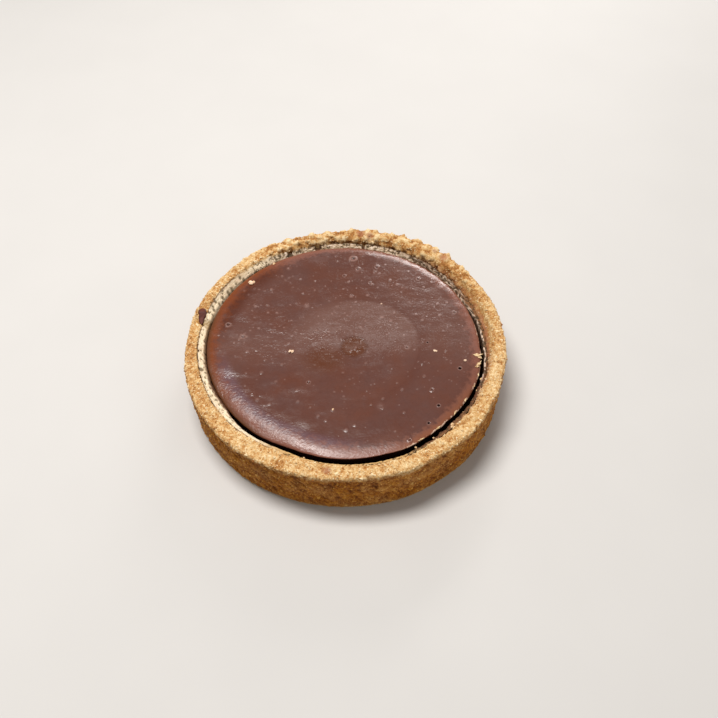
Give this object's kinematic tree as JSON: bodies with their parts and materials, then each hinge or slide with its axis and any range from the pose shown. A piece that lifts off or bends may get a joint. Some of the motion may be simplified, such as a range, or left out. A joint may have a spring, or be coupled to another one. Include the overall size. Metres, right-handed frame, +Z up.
{
  "type": "chocolate tart",
  "caption": "Round single-serve chocolate tart: a straight-sided shortcrust shell with a smooth set chocolate filling that has shrunk from the rim, and a pale froth edge.",
  "frame": {"origin": "centre of the flat underside, on the surface that the tart stands on", "axes": "+Z up out of the filling, -Y towards the front, +X to the right seen from the front"},
  "size_m": [0.0893, 0.0903, 0.0159],
  "materials": {
    "baked_shortcrust": "matte golden baked shortcrust, sandy and crumbly, browner down the outer wall",
    "set_chocolate": "satin set chocolate custard with fine bubbles, redder where it is thin at the edge",
    "dried_froth": "matte dried froth, cream to grey-brown, full of small dark pores"
  },
  "bodies": {
    "root": {"crust": "baked_shortcrust", "filling": "set_chocolate", "froth_lining": "dried_froth", "chocolate_drip": "set_chocolate"}
  },
  "joints": []
}
